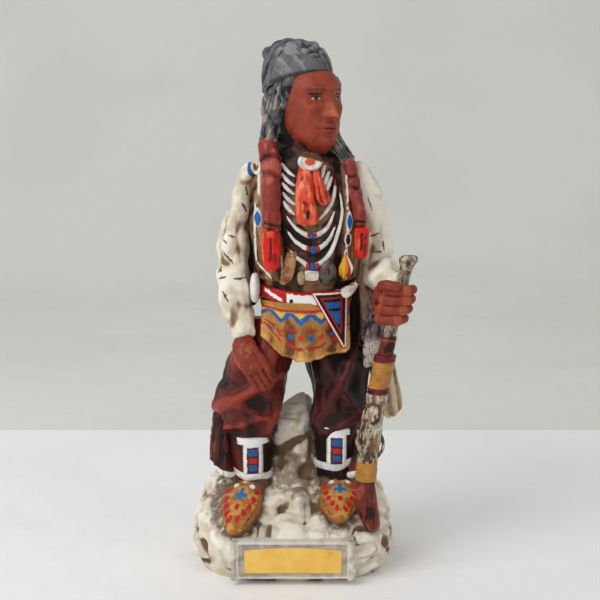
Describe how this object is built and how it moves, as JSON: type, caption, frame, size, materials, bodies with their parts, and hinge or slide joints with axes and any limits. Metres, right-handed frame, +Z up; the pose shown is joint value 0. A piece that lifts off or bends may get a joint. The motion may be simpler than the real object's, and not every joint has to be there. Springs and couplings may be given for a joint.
{
  "type": "figural liquor decanter",
  "caption": "Porcelain liquor decanter shaped as a standing man in painted hide clothes with a wrapped long gun, on a rock base; the crown of his hair lifts out with a cork.",
  "frame": {"origin": "middle of the flat face that the rock base rests on", "axes": "+Z up along the figure, -Y towards the front and the label, +X towards the viewer's right, the side of the gun"},
  "size_m": [0.1466, 0.1104, 0.347],
  "materials": {
    "rock": "matt bisque with brown wash in its pits",
    "plaque": "taupe wash with an ivory rim",
    "label": "bare golden paper",
    "skin": "matt terracotta with umber in the creases",
    "shirt": "matt dark brown",
    "sleeve": "ivory with brown wash and dark stitches",
    "vest": "brown with white edge lines",
    "beads": "white beads with blue and red",
    "legging": "dark maroon with red highlights",
    "moccasin": "ochre with beadwork",
    "apron": "ochre with painted strokes",
    "belt": "red",
    "hair": "black, dry-brushed grey",
    "crown": "matt mid grey, combed",
    "wrap": "dull wine red",
    "scarlet": "glossy scarlet",
    "gun_metal": "grey, dry-brushed",
    "gold": "gold-brown",
    "stock": "red-brown",
    "hide": "light brown",
    "pelt": "grey",
    "cork": "natural cork"
  },
  "bodies": {
    "bottle": {"apron_back": "apron", "apron_front": "apron", "belt": "belt", "belt_pouch": "hide", "braid_end_left": "scarlet", "braid_end_right": "scarlet", "braid_wrap_left": "wrap", "braid_wrap_right": "wrap", "buckle": "beads", "fist": "skin", "gun_barrel": "gun_metal", "gun_fore_end": "wrap", "gun_lock": "gun_metal", "gun_low_wrap": "gold", "gun_lower_band": "wrap", "gun_muzzle": "gun_metal", "gun_stock": "stock", "gun_upper_band": "gold", "gun_upper_wrap": "gold", "hair": "hair", "hair_lock_left": "hair", "hair_lock_right": "hair", "head": "skin", "hide_robe": "hide", "hip_disc": "beads", "knife_handle": "beads", "knife_sheath": "belt", "label": "label", "legging_flap_left": "legging", "legging_flap_right": "legging", "legging_left": "legging", "legging_right": "legging", "legging_trim_left": "beads", "legging_trim_right": "beads", "moccasin_left": "moccasin", "moccasin_right": "moccasin", "neck_gorget": "beads", "neck_scarf": "scarlet", "necklace_centrepieces": "beads", "necklace_strands": "beads", "open_hand": "skin", "pelt_bag": "pelt", "rock_base": "rock", "rock_pillar": "rock", "scroll_plaque": "plaque", "sleeve_left": "sleeve", "sleeve_right": "sleeve", "torso": "shirt", "vest": "vest", "vest_medallions": "beads", "vest_tails": "sleeve", "vest_tassel": "beads"},
    "stopper": {"hair_crown": "crown", "stopper_cork": "cork"}
  },
  "joints": [
    {"name": "stopper_lift", "type": "slide", "parent": "bottle", "child": "stopper", "axis": [0, 0, 1], "range_m": [0, 0.034]}
  ]
}
